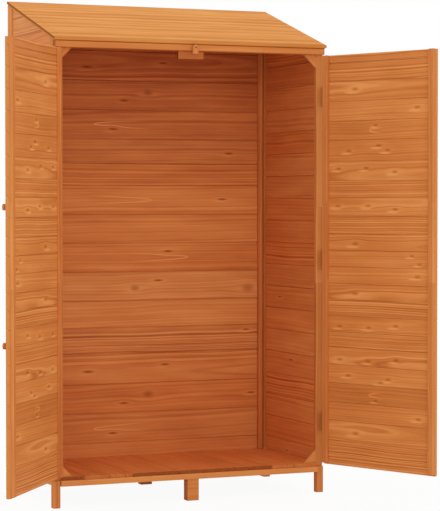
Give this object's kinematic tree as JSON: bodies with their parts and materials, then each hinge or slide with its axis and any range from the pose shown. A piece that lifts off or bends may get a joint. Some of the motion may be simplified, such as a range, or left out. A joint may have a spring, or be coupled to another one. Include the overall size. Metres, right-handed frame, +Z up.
{
  "type": "wooden garden shed",
  "caption": "Tall narrow garden shed of stained softwood boards on feet, with a single-pitch roof, a board floor, side-hung double doors and wooden turn buttons.",
  "frame": {"origin": "middle of the front middle foot's underside, on the ground", "axes": "+Z up, +X to the right as one faces the doorway, +Y from the doorway into the shed"},
  "size_m": [1.5039, 0.9971, 1.7452],
  "materials": {
    "frame_timber": "sawn fir, orange-brown stain",
    "wall_boards": "planed fir boards, orange-brown stain",
    "floor_boards": "planed fir boards, orange-brown stain",
    "roof_boards": "planed fir boards, light orange stain",
    "door_boards": "planed fir boards, orange-brown stain",
    "hinge_steel": "zinc-plated"
  },
  "bodies": {
    "frame": {"front_left_post": "frame_timber", "front_right_post": "frame_timber", "back_left_post": "frame_timber", "back_right_post": "frame_timber", "front_middle_foot": "frame_timber", "back_middle_foot": "frame_timber", "front_bottom_rail": "frame_timber", "back_bottom_rail": "frame_timber", "left_bottom_rail": "frame_timber", "right_bottom_rail": "frame_timber", "floor_joist": "frame_timber", "floor": "floor_boards", "left_wall": "wall_boards", "right_wall": "wall_boards", "back_wall": "wall_boards", "back_left_batten": "frame_timber", "back_right_batten": "frame_timber", "left_rafter": "frame_timber", "right_rafter": "frame_timber", "back_top_rail": "frame_timber", "head_rail": "frame_timber", "fascia": "frame_timber", "roof_panel": "roof_boards", "top_left_block": "frame_timber", "top_right_block": "frame_timber", "bottom_left_block": "frame_timber", "bottom_right_block": "frame_timber", "door_stop": "frame_timber", "left_frame_hinges": "hinge_steel", "right_frame_hinges": "hinge_steel"},
    "left_door": {"left_door_boards": "door_boards", "left_door_hinge_stile": "frame_timber", "left_door_free_stile": "frame_timber", "left_door_hinges": "hinge_steel"},
    "right_door": {"right_door_boards": "door_boards", "right_door_hinge_stile": "frame_timber", "right_door_free_stile": "frame_timber", "right_door_hinges": "hinge_steel"},
    "top_button": {"top_turn_button": "frame_timber"},
    "upper_button": {"upper_turn_button": "frame_timber"},
    "lower_button": {"lower_turn_button": "frame_timber"}
  },
  "joints": [
    {"name": "left_door_hinge", "type": "hinge", "parent": "frame", "child": "left_door", "pos_m": [-0.504, -0.0305, 0.826], "axis": [0, 0, -1], "range_deg": [-127, 53]},
    {"name": "right_door_hinge", "type": "hinge", "parent": "frame", "child": "right_door", "pos_m": [0.504, -0.0305, 0.826], "axis": [0, 0, 1], "range_deg": [-112, 68]},
    {"name": "top_button_pivot", "type": "hinge", "parent": "frame", "child": "top_button", "pos_m": [0, -0.0245, 1.561], "axis": [0, 1, 0], "range_deg": [0, 90]},
    {"name": "upper_button_pivot", "type": "hinge", "parent": "left_door", "child": "upper_button", "pos_m": [-0.79659, -0.42044, 1.01608], "axis": [-0.7986, 0.6018, 0], "range_deg": [-180, 0]},
    {"name": "lower_button_pivot", "type": "hinge", "parent": "left_door", "child": "lower_button", "pos_m": [-0.79659, -0.42044, 0.58264], "axis": [-0.7986, 0.6018, 0], "range_deg": [-180, 0]}
  ]
}
